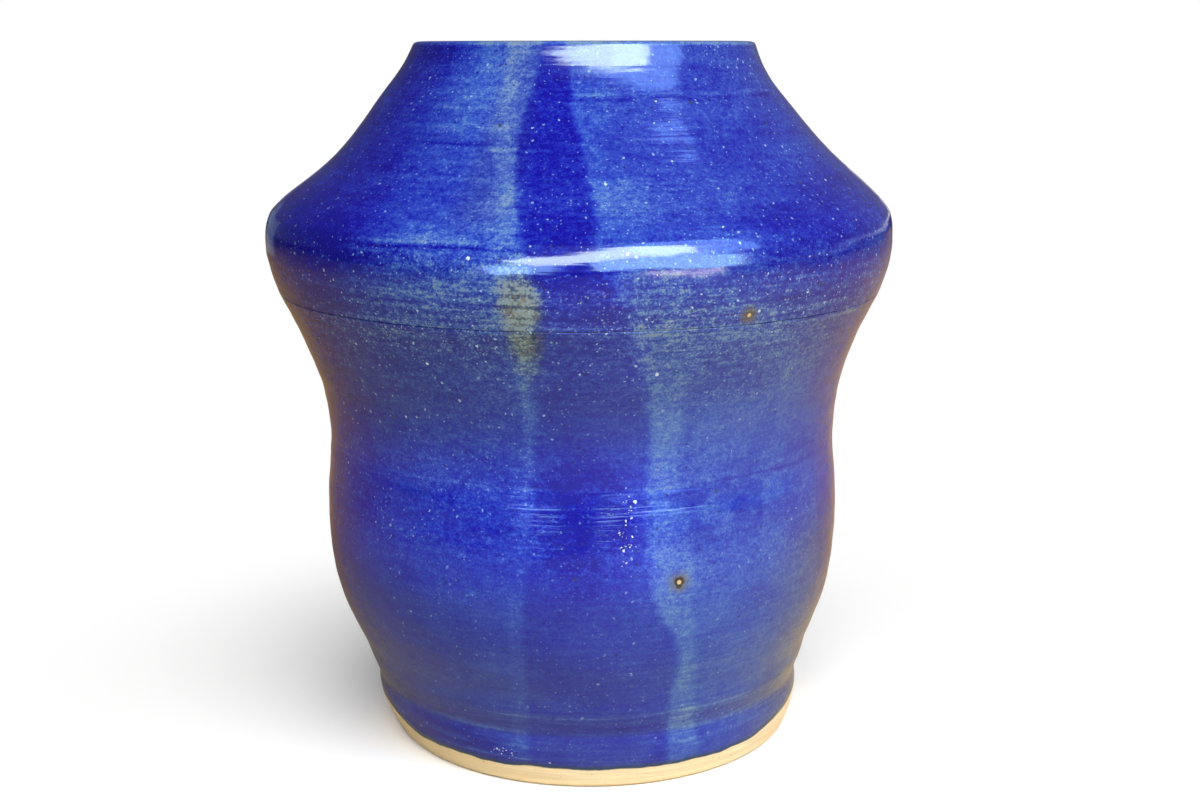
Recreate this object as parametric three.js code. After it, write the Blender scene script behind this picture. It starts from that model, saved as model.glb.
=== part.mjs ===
// A French butter crock in hand-thrown, glazed stoneware, standing closed.
// The base holds cold water. The lid is a hollow cone with a bell under its ceiling: the bell is
// packed with butter and hangs mouth down in the base, where the water seals it from the air.
// Millimetres, +Z up, origin at the middle of the foot's underside.

import * as THREE from 'three';

// Outside of the closed crock, from the foot up: diameters, and the climb from one to the next
const footDiameter = 78;
const flangeDiameter = 81.8;
const ankleDiameter = 82.6;
const bellyDiameter = 98.2;
const waistDiameter = 96.4;
const shoulderDiameter = 116.6;
const topDiameter = 62.2;
const flangeHeight = 6;
const flangeToAnkle = 4.5;
const ankleToBelly = 32.5;
const bellyToWaist = 16.5;
const waistToShoulder = 35.5;
const shoulderToTop = 35;

// The parting line lies this far below the widest part of the shoulder
const seamDrop = 9.8;

// Clay
const baseWall = 5;
const baseFloor = 8;
const lidWall = 5;
const lidCeiling = 5.5;
const bellWall = 4.5;
const bellCrown = 5;

// Foot and top, both trimmed to a flat ring round a shallow hollow
const footRingWidth = 9;
const footHollow = 1.5;
const topRingWidth = 7;
const topHollow = 1.2;

// Seat of the lid: a ledge in the base's rim, and a collar inside it
const collarHeight = 5.5;
const collarWall = 3.2;
const collarRoot = 9;

// Clearances
const jointGap = 0.3;
const collarClearance = 0.6;
const waterGap = 9.3;
const bellHeadroom = 1.5;
const mouthAboveFloor = 14;

// Softened edges and corners
const footRound = 1.2;
const seamRound = 0.4;
const topRound = 1.2;
const floorFillet = 7;
const ceilingFillet = 3;
const crownRound = 6;
const nestingBlend = 7;

// Facets of the lathe work
const facets = 56;
const cornerSteps = 3;
const lipSteps = 5;

const cobalt = { color: 0x2a35a8, roughness: 0.18, metalness: 0 };

// The rings where the outline turns, and the points between them as shares of the way out and up
const point = (radius, height) => new THREE.Vector2(radius, height);
const foot = point(footDiameter / 2, footRound);
const flange = point(flangeDiameter / 2, flangeHeight);
const ankle = point(ankleDiameter / 2, flange.y + flangeToAnkle);
const belly = point(bellyDiameter / 2, ankle.y + ankleToBelly);
const waist = point(waistDiameter / 2, belly.y + bellyToWaist);
const shoulder = point(shoulderDiameter / 2, waist.y + waistToShoulder);
const totalHeight = shoulder.y + shoulderToTop;
const top = point(topDiameter / 2, totalHeight - topRound);
const hipShares = [0.53, 0.35];
const flankShares = [0.87, 0.63];
const flareShares = [0.28, 0.394];
const undersideShares = [0.893, 0.831];
const browShares = [0.085, 0.18];
const coneShares = [0.43, 0.42];
const neckShares = [0.715, 0.67];

function between(low, high, shares) {
  const [outShare, upShare] = shares;
  return point(THREE.MathUtils.lerp(low.x, high.x, outShare), THREE.MathUtils.lerp(low.y, high.y, upShare));
}

// One curve for both thrown pieces, so their walls run on across the parting line
const outline = new THREE.SplineCurve([
  foot,
  flange,
  ankle,
  between(ankle, belly, hipShares),
  between(ankle, belly, flankShares),
  belly,
  waist,
  between(waist, shoulder, flareShares),
  between(waist, shoulder, undersideShares),
  shoulder,
  between(shoulder, top, browShares),
  between(shoulder, top, coneShares),
  between(shoulder, top, neckShares),
  top,
]);

// A point of the wall, at a depth square to its outside
function wallPoint(t, depth) {
  const outside = outline.getPoint(t);
  const along = outline.getTangent(t);
  return point(outside.x - depth * along.y, outside.y + depth * along.x);
}

// The place along the outline where the wall, at that depth, reaches a height
function placeAt(height, depth) {
  let low = 0;
  let high = 1;
  while (high - low > Number.EPSILON) {
    const middle = (low + high) / 2;
    if (middle === low || middle === high) break;
    if (wallPoint(middle, depth).y < height) low = middle;
    else high = middle;
  }
  return low;
}

// Points of the wall between two heights, in that order, with both ends on their heights
function wallBetween(fromHeight, toHeight, depth, steps) {
  const from = placeAt(fromHeight, depth);
  const to = placeAt(toHeight, depth);
  return Array.from({ length: steps + 1 }, (_, i) => {
    return wallPoint(THREE.MathUtils.lerp(from, to, i / steps), depth);
  });
}

const wallRadius = (height, depth) => wallPoint(placeAt(height, depth), depth).x;

// A corner softened by a curve that leaves and meets its sides smoothly
function softened(from, corner, to) {
  return new THREE.QuadraticBezierCurve(from, corner, to).getPoints(cornerSteps);
}

// A lip rounded over the whole thickness of a wall, turned from one angle to another
function lip(middleRadius, middleHeight, thickness, fromAngle, toAngle) {
  const arc = new THREE.EllipseCurve(
    middleRadius, middleHeight, thickness / 2, thickness / 2, fromAngle, toAngle, toAngle < fromAngle);
  return arc.getPoints(lipSteps);
}

// A thrown piece: its half section, from the axis round to the axis again, spun about +Z
function thrown(name, section, finish) {
  const geometry = new THREE.LatheGeometry(section, facets);
  geometry.rotateX(Math.PI / 2);
  const mesh = new THREE.Mesh(geometry, new THREE.MeshStandardMaterial(finish));
  mesh.name = name;
  return mesh;
}

// The seat: the base's wall splits into an outer ledge, which carries the lid, and a collar
const seamHeight = shoulder.y - seamDrop;
const seamRadius = wallRadius(seamHeight, 0);
const collarRootHeight = seamHeight - collarRoot;
const collarInside = wallRadius(collarRootHeight, baseWall);
const collarOutside = collarInside + collarWall;
const collarTop = seamHeight + collarHeight;

// The bell: as wide as the water round it allows, and nested under the cone towards its crown
const bellRadius = Math.min(wallRadius(waist.y, baseWall), collarInside) - waterGap;
const bellMouth = baseFloor + mouthAboveFloor;
const lipHeight = bellMouth + bellWall / 2;
const ceilingHeight = totalHeight - topHollow - lidCeiling;
const crownHeight = ceilingHeight - jointGap;

function bellOutside(height) {
  const underCone = wallRadius(height, lidWall) - bellHeadroom;
  const blend = Math.max(nestingBlend - Math.abs(bellRadius - underCone), 0);
  return Math.min(bellRadius, underCone) - blend ** 2 / (4 * nestingBlend);
}

// Points up the bell's wall, a thickness in from its outside, closer together where it curves in
function bellUpTo(height, thickness, steps) {
  return Array.from({ length: steps + 1 }, (_, i) => {
    const climb = THREE.MathUtils.lerp(lipHeight, height, Math.sin((i / steps) * (Math.PI / 2)));
    return point(bellOutside(climb) - thickness, climb);
  });
}

function crockBase() {
  const footRing = foot.x - footRingWidth;
  const wallFoot = baseFloor + floorFillet;
  const floorCorner = wallRadius(wallFoot, baseWall);
  const collarMiddle = collarOutside - collarWall / 2;
  const section = [
    point(0, footHollow),
    point(footRing - footHollow, footHollow),
    point(footRing, 0),
    ...softened(point(foot.x - footRound, 0), point(foot.x, 0), foot).slice(0, -1),
    ...wallBetween(foot.y, seamHeight - seamRound, 0, 17),
    point(seamRadius - seamRound, seamHeight),
    point(collarOutside, seamHeight),
    ...lip(collarMiddle, collarTop - collarWall / 2, collarWall, 0, Math.PI),
    ...wallBetween(collarRootHeight, wallFoot, baseWall, 10),
    ...softened(
      point(floorCorner, wallFoot), point(floorCorner, baseFloor),
      point(floorCorner - floorFillet, baseFloor)).slice(1),
    point(0, baseFloor),
  ];
  return thrown('crock_base', section, cobalt);
}

function lidCap() {
  const rimHeight = seamHeight + jointGap;
  const rimInside = collarOutside + collarClearance;
  const hollowStart = collarTop + collarClearance;
  const ceilingCorner = wallRadius(ceilingHeight, lidWall);
  const wallTop = ceilingHeight - ceilingFillet;
  const topRing = top.x - topRound - topRingWidth;
  const section = [
    point(0, ceilingHeight),
    ...softened(
      point(ceilingCorner - ceilingFillet, ceilingHeight), point(ceilingCorner, ceilingHeight),
      point(wallRadius(wallTop, lidWall), wallTop)).slice(0, -1),
    ...wallBetween(wallTop, hollowStart, lidWall, 11),
    point(rimInside, rimHeight),
    point(wallRadius(rimHeight, 0) - seamRound, rimHeight),
    ...wallBetween(rimHeight + seamRound, top.y, 0, 14),
    ...softened(top, point(top.x, totalHeight), point(top.x - topRound, totalHeight)).slice(1),
    point(topRing, totalHeight),
    point(topRing - topHollow, totalHeight - topHollow),
    point(0, totalHeight - topHollow),
  ];
  return thrown('lid_cap', section, cobalt);
}

function butterBell() {
  const insideTop = crownHeight - bellCrown;
  const wallTop = insideTop - crownRound;
  const cornerInside = point(bellOutside(insideTop) - bellWall, insideTop);
  const cornerOutside = point(bellOutside(crownHeight), crownHeight);
  const crownStart = crownHeight - crownRound;
  const section = [
    point(0, insideTop),
    ...softened(
      point(cornerInside.x - crownRound, insideTop), cornerInside,
      point(bellOutside(wallTop) - bellWall, wallTop)).slice(0, -1),
    ...bellUpTo(wallTop, bellWall, 8).reverse().slice(0, -1),
    ...lip(bellRadius - bellWall / 2, lipHeight, bellWall, Math.PI, 2 * Math.PI),
    ...bellUpTo(crownStart, 0, 9).slice(1, -1),
    ...softened(
      point(bellOutside(crownStart), crownStart), cornerOutside,
      point(cornerOutside.x - crownRound, crownHeight)),
    point(0, crownHeight),
  ];
  return thrown('butter_bell', section, cobalt);
}

const crock = new THREE.Group();
crock.add(crockBase());

// The cap and the bell are thrown apart and joined with slip, and lift off the base as one
const lid = new THREE.Group();
lid.add(lidCap(), butterBell());
crock.add(lid);

export default crock;
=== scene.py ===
import math

import bpy
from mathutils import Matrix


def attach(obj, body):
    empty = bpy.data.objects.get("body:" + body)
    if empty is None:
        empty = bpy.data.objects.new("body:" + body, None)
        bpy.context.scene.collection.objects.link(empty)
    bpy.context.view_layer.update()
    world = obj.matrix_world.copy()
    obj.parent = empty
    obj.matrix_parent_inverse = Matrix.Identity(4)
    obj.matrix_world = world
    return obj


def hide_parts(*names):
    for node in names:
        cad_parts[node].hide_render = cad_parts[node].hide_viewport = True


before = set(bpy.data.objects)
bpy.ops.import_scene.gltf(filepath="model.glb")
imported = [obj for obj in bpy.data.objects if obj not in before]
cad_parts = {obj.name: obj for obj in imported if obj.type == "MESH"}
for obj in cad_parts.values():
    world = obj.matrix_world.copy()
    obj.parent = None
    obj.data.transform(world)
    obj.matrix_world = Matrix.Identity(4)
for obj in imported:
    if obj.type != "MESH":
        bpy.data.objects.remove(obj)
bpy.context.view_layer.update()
mm = 0.001

# ---------------------------------------------------------------- camera
# The camera stands level with the crock's top, about 30 cm from its axis, and is tipped down so
# that the foot is in the picture too.
camera_back = 304.7 * mm
camera_height = 129.06 * mm
camera_right = 3.85 * mm
camera_tip = math.radians(12.37)
camera_lean = math.radians(0.05)

bpy.ops.object.camera_add(
    location=(camera_right, -camera_back, camera_height),
    rotation=(math.pi / 2 - camera_tip, camera_lean, 0))
camera = bpy.context.object
camera.data.sensor_width = 36
camera.data.lens = 48.39
camera.data.clip_start = 0.01
bpy.context.scene.camera = camera
bpy.context.scene.view_settings.view_transform = "Standard"


# ---------------------------------------------------------------- studio
# A pale floor that keeps the crock's shadow and is white to the camera, a plain room that is
# dimmer on the left, and a soft window to the right of the camera with the sky above it.
def number_into(tree, socket, value):
    """Gives a socket a plain value, or joins another node's output to it."""
    if isinstance(value, bpy.types.NodeSocket):
        tree.links.new(value, socket)
    else:
        socket.default_value = value


def node_in(tree, kind, values=None, **settings):
    """Adds a node with its settings and with values or outputs in its named or numbered sockets."""
    node = tree.nodes.new("ShaderNode" + kind)
    for name, setting in settings.items():
        setattr(node, name, setting)
    for socket, value in (values or {}).items():
        number_into(tree, node.inputs[socket], value)
    return node


def reckon(tree, operation, *numbers, clamp=False):
    """One step of arithmetic on one, two or three numbers."""
    return node_in(
        tree, "Math", dict(enumerate(numbers)), operation=operation, use_clamp=clamp).outputs[0]


def rise(tree, value, start, end):
    """0 before the start, 1 after the end and a smooth rise between them."""
    return node_in(
        tree, "MapRange", {0: value, 1: start, 2: end}, interpolation_type="SMOOTHSTEP").outputs[0]


def mix_colours(tree, share, first, second):
    return node_in(
        tree, "Mix", {0: share, 6: first, 7: second}, data_type="RGBA").outputs[2]


floor_radius = 4
floor_drop = 0.05 * mm
# The glaze mirrors a warm table top round the crock and the dimmer floor past its edge
table_front_left = (0.50, 0.57, 0.40, 1)
table_front_right = (0.90, 0.90, 0.60, 1)
table_back_left = (0.42, 0.26, 0.09, 1)
table_back_right = (0.62, 0.41, 0.20, 1)
dim_colour = (0.07, 0.06, 0.08, 1)
table_middle = 0.40
table_reach = 0.63
floor_white = (0.94, 0.94, 0.94, 1)
white = (1, 1, 1, 1)
fade_start = 0.02
fade_end = 0.13
glossy_fade_start = 2.4
glossy_fade_end = 3.8

bpy.ops.mesh.primitive_circle_add(
    vertices=96, radius=floor_radius, fill_type="NGON", location=(0, 0, -floor_drop))
floor = bpy.context.object
floor.name = "studio_floor"
bpy.ops.object.transform_apply(location=True)

floor_finish = bpy.data.materials.new("studio_floor")
floor_finish.use_nodes = True
tree = floor_finish.node_tree
tree.nodes.clear()
place = node_in(tree, "TexCoord").outputs["Object"]
distance = node_in(tree, "VectorMath", {0: place}, operation="LENGTH").outputs["Value"]
rays = node_in(tree, "LightPath").outputs
seen = reckon(tree, "MAXIMUM", rays["Is Camera Ray"], rays["Is Transmission Ray"])
sideways, depthward, _ = node_in(tree, "SeparateXYZ", {0: place}).outputs
bright_horizon = reckon(
    tree, "MULTIPLY", rise(tree, distance, glossy_fade_start, glossy_fade_end),
    rise(tree, sideways, -1.2, 0.4))
faded = reckon(
    tree, "MAXIMUM", reckon(tree, "MULTIPLY", seen, rise(tree, distance, fade_start, fade_end)),
    reckon(tree, "MULTIPLY", rays["Is Glossy Ray"], bright_horizon))
from_table = node_in(
    tree, "VectorMath", {0: place, 1: (0, table_middle, 0)}, operation="DISTANCE").outputs["Value"]
off_table = rise(tree, from_table, table_reach - 0.25, table_reach + 0.5)
to_right = rise(tree, sideways, -0.12, 0.16)
table = mix_colours(
    tree, rise(tree, depthward, -0.12, 0.10),
    mix_colours(tree, to_right, table_front_left, table_front_right),
    mix_colours(tree, to_right, table_back_left, table_back_right))
mirrored = mix_colours(tree, off_table, table, dim_colour)
paint_colour = mix_colours(tree, seen, mirrored, floor_white)
paint = node_in(tree, "BsdfDiffuse", {"Color": paint_colour}).outputs[0]
glow = node_in(tree, "Emission", {"Color": white, "Strength": 1}).outputs[0]
surface = node_in(tree, "MixShader", {0: faded, 1: paint, 2: glow}).outputs[0]
node_in(tree, "OutputMaterial", {"Surface": surface})
floor.data.materials.append(floor_finish)

room_left = (0.09, 0.085, 0.09, 1)
room_right = (0.26, 0.25, 0.25, 1)
world = bpy.data.worlds.new("studio_room")
world.use_nodes = True
bpy.context.scene.world = world
tree = world.node_tree
tree.nodes.clear()
toward = node_in(tree, "TexCoord").outputs["Generated"]
rightward, _, upward = node_in(tree, "SeparateXYZ", {0: toward}).outputs
room = mix_colours(tree, rise(tree, rightward, -0.2, 0.9), room_left, room_right)
rays = node_in(tree, "LightPath").outputs
near_level = reckon(
    tree, "MULTIPLY", rise(tree, upward, 0.02, 0), rise(tree, rightward, -0.4, 0.1))
glossy_level = reckon(tree, "MULTIPLY", rays["Is Glossy Ray"], near_level)
backdrop = reckon(
    tree, "MAXIMUM", rays["Is Camera Ray"],
    reckon(tree, "MAXIMUM", glossy_level, rays["Is Transmission Ray"]))
colour = mix_colours(tree, backdrop, room, white)
sky = node_in(tree, "Background", {"Color": colour, "Strength": 1}).outputs[0]
node_in(tree, "OutputWorld", {"Surface": sky})


def soft_lamp(name, azimuth, elevation, away, width, height, radiance, colour, glint, tilt=0):
    """A rectangular lamp that faces the crock from a direction. Azimuth 0 is the camera's side.
    It either lights the crock softly or shows in the glaze as a glint."""
    around, up = math.radians(azimuth), math.radians(elevation)
    lamp = bpy.data.lights.new(name, "AREA")
    lamp.shape = "RECTANGLE"
    lamp.size, lamp.size_y = width, height
    lamp.energy = radiance * math.pi * width * height
    lamp.color = colour
    holder = bpy.data.objects.new(name, lamp)
    holder.location = (
        away * math.cos(up) * math.sin(around), -away * math.cos(up) * math.cos(around),
        away * math.sin(up) + crock_middle)
    holder.rotation_euler = (math.pi / 2 - up, 0, around)
    holder.rotation_euler.rotate_axis("Z", math.radians(tilt))
    holder.visible_camera = False
    holder.visible_glossy = glint
    holder.visible_diffuse = not glint
    bpy.context.collection.objects.link(holder)


crock_middle = 0.1
soft_lamp("window", 20, 47, 1.3, 1.5, 0.6, 10.8, (1, 0.985, 0.96), glint=False)
soft_lamp("window_fill", -60, 35, 1.6, 1.2, 1.2, 0.45, (1, 1, 1), glint=False)
soft_lamp("window_glint", 10.5, 39.5, 1.25, 1.38, 0.62, 17.5, (0.80, 1, 0.97), glint=True, tilt=13)
soft_lamp("sky_glint", 49, 46, 1.4, 0.97, 0.98, 8.5, (0.24, 0.47, 1), glint=True)
soft_lamp("right_pane_glint", 32, 12.5, 1.36, 1.4, 0.7, 12, (0.44, 0.76, 1), glint=True)
soft_lamp("left_pane_glint", -19, 8.5, 1.3, 0.5, 0.5, 12, (0.33, 0.62, 1), glint=True)
soft_lamp("table_glint", 30.7, -8.1, 0.177, 0.074, 0.018, 8.5, (1, 0.76, 0.66), glint=True, tilt=5)
soft_lamp("left_wall_glint", -25, 5, 1.3, 0.42, 0.36, 2.4, (0.75, 0.9, 1), glint=True)
soft_lamp("back_wall_glint", -145, -0.5, 0.6, 0.18, 0.16, 0.28, (0.5, 0.75, 1), glint=True)

# ---------------------------------------------------------------- base
# The base is a thrown stoneware pot that holds the cold water. Its wall is pulled up from a thick
# floor, flares out under the shoulder, and splits at the rim into a ledge for the lid and a collar
# inside it. It is dipped in cobalt glaze, and its foot and its seat are left bare.
turns = 56
# Subdividing draws every ring in a little, so the rings are thrown this much larger
ring_swell = 3 / (2 + math.cos(2 * math.pi / turns))
base_outside = [
    (37.6, 0), (38.5, 0.1), (38.85, 0.6), (39.2, 1.5), (39.75, 2.6), (40.4, 4.2), (40.95, 6),
    (41.15, 8), (41.1, 9.8), (41.12, 10.7), (41.4, 11.7), (41.95, 13.2), (42.65, 15), (43.5, 18),
    (44.75, 21), (46.25, 24.5), (47.4, 28), (48.22, 32), (48.82, 36.5), (49.07, 42),
    (48.87, 47), (48.38, 52), (48.1, 55.2), (47.96, 57), (47.95, 58.2), (48.05, 60),
    (48.37, 64), (49.0, 68), (50.55, 72.5), (52.1, 76.5), (53.75, 80.2), (55.1, 83),
    (56.0, 84.8), (56.15, 85.16), (56.14, 85.26), (56.08, 85.3)]
base_seat = [
    (55.5, 85.3), (52.5, 85.3), (50.3, 85.3), (49.9, 85.4), (49.85, 86), (49.85, 88.4),
    (49.7, 89.7), (49.1, 90.45), (48.25, 90.7), (47.4, 90.45), (46.8, 89.7), (46.65, 88.4)]
base_inside = [
    (46.65, 84), (46.65, 79), (46.1, 75), (44.9, 70.5), (43.9, 66), (43.35, 61), (43.2, 56),
    (43.4, 51), (43.85, 46), (43.95, 41), (43.75, 36), (43.1, 31.5), (42, 27), (40.6, 23),
    (39.2, 19), (37.9, 15.5), (37, 12.2), (35.6, 9.9), (33.2, 8.5), (30.5, 8), (22, 8), (12, 8),
    (4, 8)]
base_hollow = [(27.6, 1.5), (28.4, 1.45), (28.9, 1), (29.6, 0.2), (30.1, 0), (33, 0)]


# The crock was thrown a little out of true: how far its wall stands to the right, up its height
waver = [
    (0, 2.0), (5, 1.6), (10, 1.2), (16, 1.1), (20, 0.85), (24, 0.55), (31, 0.35), (53, 0.3),
    (67, 0.2), (75, -0.05), (90, 0), (97, 0), (101, 0.3), (107, 1.1), (114, 0.85),
    (122, 0.45), (130, 1.0)]
plumb = [(0, 0), (130, 0)]
half_wall = 2.5


def between_points(points, at):
    """Reads a value between the points of a list."""
    for (low, first), (high, second) in zip(points, points[1:]):
        if at <= high:
            return first + (second - first) * max(at - low, 0) / (high - low)
    return points[-1][1]


def throw(name, rings, lean):
    """Throws a pot: a disc of clay whose face is pulled through rings of radius and height, in
    millimetres, and comes to rest as the far face of the closed wall. The lean is how far it
    stands to the right, up its height."""
    bpy.ops.object.select_all(action="DESELECT")
    radius, height = rings[0]
    aside = between_points(lean, height)
    bpy.ops.mesh.primitive_circle_add(
        vertices=turns, radius=radius * ring_swell * mm, fill_type="NGON",
        location=(aside * mm, 0, height * mm), enter_editmode=True)
    for next_radius, next_height in rings[1:]:
        next_aside = between_points(lean, next_height)
        bpy.ops.mesh.extrude_region_move(TRANSFORM_OT_translate={
            "value": ((next_aside - aside) * mm, 0, (next_height - height) * mm)})
        spread = next_radius / radius
        bpy.ops.transform.resize(
            value=(spread, spread, 1), center_override=(next_aside * mm, 0, next_height * mm))
        radius, height, aside = next_radius, next_height, next_aside
    # The first and the last face are closed to a point in their middle
    bpy.ops.mesh.select_all(action="DESELECT")
    bpy.ops.mesh.select_face_by_sides(number=turns, type="EQUAL")
    bpy.ops.mesh.poke()
    bpy.ops.mesh.select_all(action="SELECT")
    bpy.ops.mesh.normals_make_consistent(inside=False)
    bpy.ops.object.mode_set(mode="OBJECT")
    pot = bpy.context.object
    pot.name = pot.data.name = name
    bpy.ops.object.transform_apply(location=True)
    smooth = pot.modifiers.new("smoothed_clay", "SUBSURF")
    smooth.levels = smooth.render_levels = 2
    bpy.ops.object.modifier_apply(modifier=smooth.name)
    bpy.ops.object.shade_smooth()
    return pot


def ripple(pot, zone, around, climb, depth):
    """Presses soft ripples into a zone of a pot, as fingers do while the wheel turns. They are so
    long around the pot and so high up its wall."""
    bpy.ops.object.empty_add()
    hand = bpy.context.object
    hand.scale = (around * mm, around * mm, climb * mm)
    bpy.context.view_layer.update()
    pattern = bpy.data.textures.new("ripples", "CLOUDS")
    pattern.noise_scale = 1
    pattern.noise_depth = 1
    pressed = pot.modifiers.new("ripples", "DISPLACE")
    pressed.texture = pattern
    pressed.texture_coords = "OBJECT"
    pressed.texture_coords_object = hand
    pressed.vertex_group = zone
    pressed.strength = depth * mm
    bpy.ops.object.select_all(action="DESELECT")
    bpy.context.view_layer.objects.active = pot
    pot.select_set(True)
    bpy.ops.object.modifier_apply(modifier=pressed.name)
    bpy.data.objects.remove(hand)
    bpy.data.textures.remove(pattern)


def mark_zone(pot, zone, weight_at):
    """Names a zone of a pot by a weight for each radius and height, in millimetres, and each
    number of degrees round from the front."""
    group = pot.vertex_groups.new(name=zone)
    for vertex in pot.data.vertices:
        x, y, z = vertex.co / mm
        weight = weight_at(math.hypot(x, y), z, math.degrees(math.atan2(x, -y)))
        if weight > 0:
            group.add([vertex.index], min(weight, 1), "REPLACE")


def base_wall_middle(height):
    """Radius half way through the base's wall."""
    return between_points([(z, r) for r, z in base_outside], height) - half_wall


base = throw("thrown_base", base_hollow + base_outside + base_seat + base_inside, waver)
mark_zone(
    base, "outside",
    lambda r, z, around: min((z - 3) / 3, (84.5 - z) / 4) if r > base_wall_middle(z) else 0)
mark_zone(
    base, "inside",
    lambda r, z, around: min((z - 9) / 6, (76 - z) / 6) if 10 < r < base_wall_middle(z) else 0)
ripple(base, "outside", around=70, climb=3.2, depth=0.16)
ripple(base, "outside", around=45, climb=26, depth=0.5)
ripple(base, "inside", around=60, climb=6, depth=0.7)


def effect(name, takes, gives):
    """An empty node group. Returns it with its named inputs and outputs, ready to be joined."""
    group = bpy.data.node_groups.new(name, "ShaderNodeTree")
    for socket, start in takes.items():
        kind = "NodeSocketVector" if isinstance(start, tuple) else "NodeSocketFloat"
        group.interface.new_socket(socket, in_out="INPUT", socket_type=kind).default_value = start
    for socket in gives:
        kind = "NodeSocketColor" if socket == "Colour" else "NodeSocketFloat"
        group.interface.new_socket(socket, in_out="OUTPUT", socket_type=kind)
    group_inputs = group.nodes.new("NodeGroupInput").outputs
    group_outputs = group.nodes.new("NodeGroupOutput").inputs
    return group, group_inputs, group_outputs


def use(tree, group, **values):
    """Places a node group. Underscores in a name stand for spaces. Returns its outputs."""
    node = tree.nodes.new("ShaderNodeGroup")
    node.node_tree = group
    for name, value in values.items():
        number_into(tree, node.inputs[name.replace("_", " ")], value)
    return node.outputs


def stretched_noise(tree, around, climb, detail=2, offset=0):
    """Noise whose patches are so long around the pot and so high up its wall, in millimetres."""
    place = node_in(tree, "TexCoord").outputs["Object"]
    fitted = node_in(
        tree, "Mapping",
        {"Vector": place, "Location": (offset, offset, offset),
         "Scale": (1 / (around * mm), 1 / (around * mm), 1 / (climb * mm))})
    return node_in(
        tree, "TexNoise", {"Vector": fitted.outputs[0], "Scale": 1, "Detail": detail}).outputs[0]


def centred(tree, noise, reach):
    """Noise made to swing about zero by so much."""
    return reckon(tree, "MULTIPLY", reckon(tree, "SUBTRACT", noise, 0.5), 2 * reach)


def product(tree, *numbers):
    total = numbers[0]
    for number in numbers[1:]:
        total = reckon(tree, "MULTIPLY", total, number)
    return total


def total_of(tree, *numbers):
    total = numbers[0]
    for number in numbers[1:]:
        total = reckon(tree, "ADD", total, number)
    return total


def weighed(tree, *parts):
    """The total of some numbers, each times its weight."""
    return total_of(tree, *(reckon(tree, "MULTIPLY", part, weight) for part, weight in parts))


def curve_through(tree, value, points, value_range, result_range):
    """A number read off a curve drawn through points."""
    (low, high), (least, most) = value_range, result_range
    share = reckon(tree, "DIVIDE", reckon(tree, "SUBTRACT", value, low), high - low, clamp=True)
    node = node_in(tree, "FloatCurve", {"Value": share})
    curve = node.mapping.curves[0]
    for at, result in points:
        spot = ((at - low) / (high - low), (result - least) / (most - least))
        if at == points[0][0]:
            curve.points[0].location = spot
        elif at == points[-1][0]:
            curve.points[-1].location = spot
        else:
            curve.points.new(*spot)
    node.mapping.update()
    return total_of(tree, reckon(tree, "MULTIPLY", node.outputs[0], most - least), least)


# Where a point is on the wall: degrees round from the front, and millimetres up
where_group, takes, gives = effect("where_on_wall", {}, ["Azimuth", "Height", "Radius"])
place = node_in(where_group, "TexCoord").outputs["Object"]
x, y, z = node_in(where_group, "SeparateXYZ", {0: place}).outputs
turned = reckon(where_group, "ARCTAN2", x, reckon(where_group, "MULTIPLY", y, -1))
where_group.links.new(reckon(where_group, "DEGREES", turned), gives["Azimuth"])
where_group.links.new(reckon(where_group, "DIVIDE", z, mm), gives["Height"])
out = node_in(where_group, "VectorMath", {
    0: node_in(where_group, "CombineXYZ", {0: x, 1: y}).outputs[0]}, operation="LENGTH")
where_group.links.new(reckon(where_group, "DIVIDE", out.outputs["Value"], mm), gives["Radius"])

# A run of glaze down the wall, between two edges in degrees
run_group, takes, gives = effect(
    "glaze_run", {"Azimuth": 0.0, "Left": -5.0, "Right": 5.0, "Softness": 2.0}, ["Mask"])
after_left = rise(
    run_group, takes["Azimuth"], reckon(run_group, "SUBTRACT", takes["Left"], takes["Softness"]),
    reckon(run_group, "ADD", takes["Left"], takes["Softness"]))
before_right = rise(
    run_group, takes["Azimuth"], reckon(run_group, "ADD", takes["Right"], takes["Softness"]),
    reckon(run_group, "SUBTRACT", takes["Right"], takes["Softness"]))
run_group.links.new(product(run_group, after_left, before_right), gives["Mask"])


def run_mask(tree, azimuth, left, right, softness):
    return use(
        tree, run_group, Azimuth=azimuth, Left=left, Right=right, Softness=softness)["Mask"]


# A pool of thicker glaze, or a patch of thinner, with a ragged edge
pool_group, takes, gives = effect(
    "glaze_pool",
    {"Azimuth": 0.0, "Height": 0.0, "At azimuth": 0.0, "At height": 0.0, "Half width": 10.0,
     "Half height": 10.0, "Softness": 0.35}, ["Mask"])
aside = reckon(
    pool_group, "DIVIDE", reckon(pool_group, "SUBTRACT", takes["Azimuth"], takes["At azimuth"]),
    takes["Half width"])
above = reckon(
    pool_group, "DIVIDE", reckon(pool_group, "SUBTRACT", takes["Height"], takes["At height"]),
    takes["Half height"])
spread = reckon(
    pool_group, "SQRT", total_of(
        pool_group, reckon(pool_group, "MULTIPLY", aside, aside),
        reckon(pool_group, "MULTIPLY", above, above)))
ragged = total_of(
    pool_group, spread, centred(pool_group, stretched_noise(pool_group, 9, 2.2, 3), 0.55),
    centred(pool_group, stretched_noise(pool_group, 2.5, 1.0, 2, 7), 0.3))
pool_group.links.new(
    rise(
        pool_group, ragged, reckon(pool_group, "ADD", takes["Softness"], 1),
        reckon(pool_group, "SUBTRACT", 1, takes["Softness"])), gives["Mask"])


def pool_mask(tree, where, at_azimuth, at_height, half_width, half_height, softness=0.35):
    return use(
        tree, pool_group, Azimuth=where["Azimuth"], Height=where["Height"],
        At_azimuth=at_azimuth, At_height=at_height, Half_width=half_width,
        Half_height=half_height, Softness=softness)["Mask"]


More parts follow.
